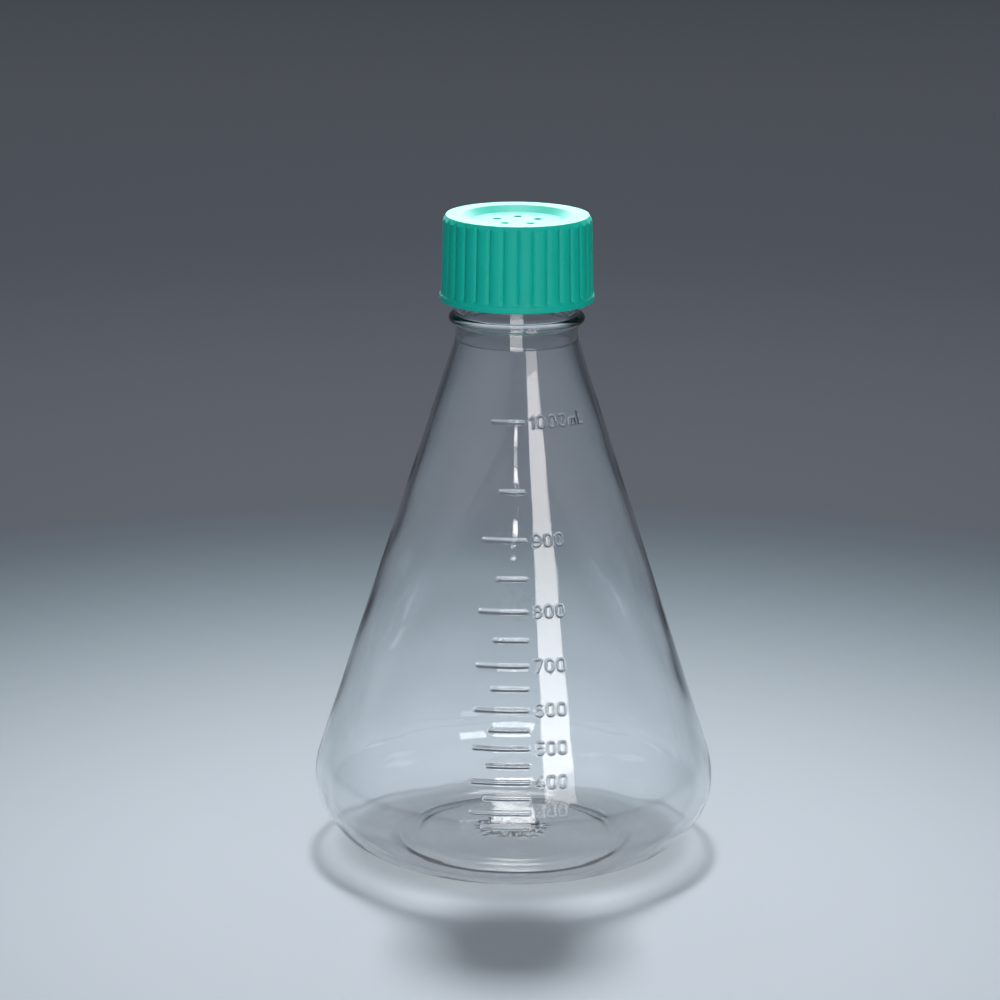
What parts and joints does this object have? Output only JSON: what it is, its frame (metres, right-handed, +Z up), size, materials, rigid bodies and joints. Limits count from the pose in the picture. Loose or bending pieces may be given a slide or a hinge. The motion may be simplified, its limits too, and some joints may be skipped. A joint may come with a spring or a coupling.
{
  "type": "erlenmeyer flask",
  "caption": "Clear plastic Erlenmeyer shake flask with raised volume marks and a ribbed screw cap with vent holes over a membrane.",
  "frame": {"origin": "centre of the standing ring, on the surface the flask stands on", "axes": "+Z up along the flask's axis, -Y towards the side with the volume marks, +X to the right of the marks"},
  "size_m": [0.1272, 0.1275, 0.2043],
  "materials": {
    "clear_wall": "polished",
    "cap_plastic": "satin",
    "membrane": "matte",
    "silicone": "satin"
  },
  "bodies": {
    "flask": {"flask_body": "clear_wall"},
    "seal": {"sealing_ring": "silicone"},
    "cap": {"cap_shell": "cap_plastic", "vent_membrane": "membrane", "membrane_clamp_ring": "cap_plastic"}
  },
  "joints": [
    {"name": "cap_lift", "type": "slide", "parent": "flask", "child": "seal", "axis": [0, 0, 1], "range_m": [0, 0.027]},
    {"name": "cap_turn", "type": "hinge", "parent": "seal", "child": "cap", "pos_m": [0, 0, 0.19], "axis": [0, 0, 1], "range_deg": [0, 1620]}
  ],
  "couplings": [
    {"joint": "cap_lift", "follows": "cap_turn", "m_per_rad": 0.0009549}
  ]
}
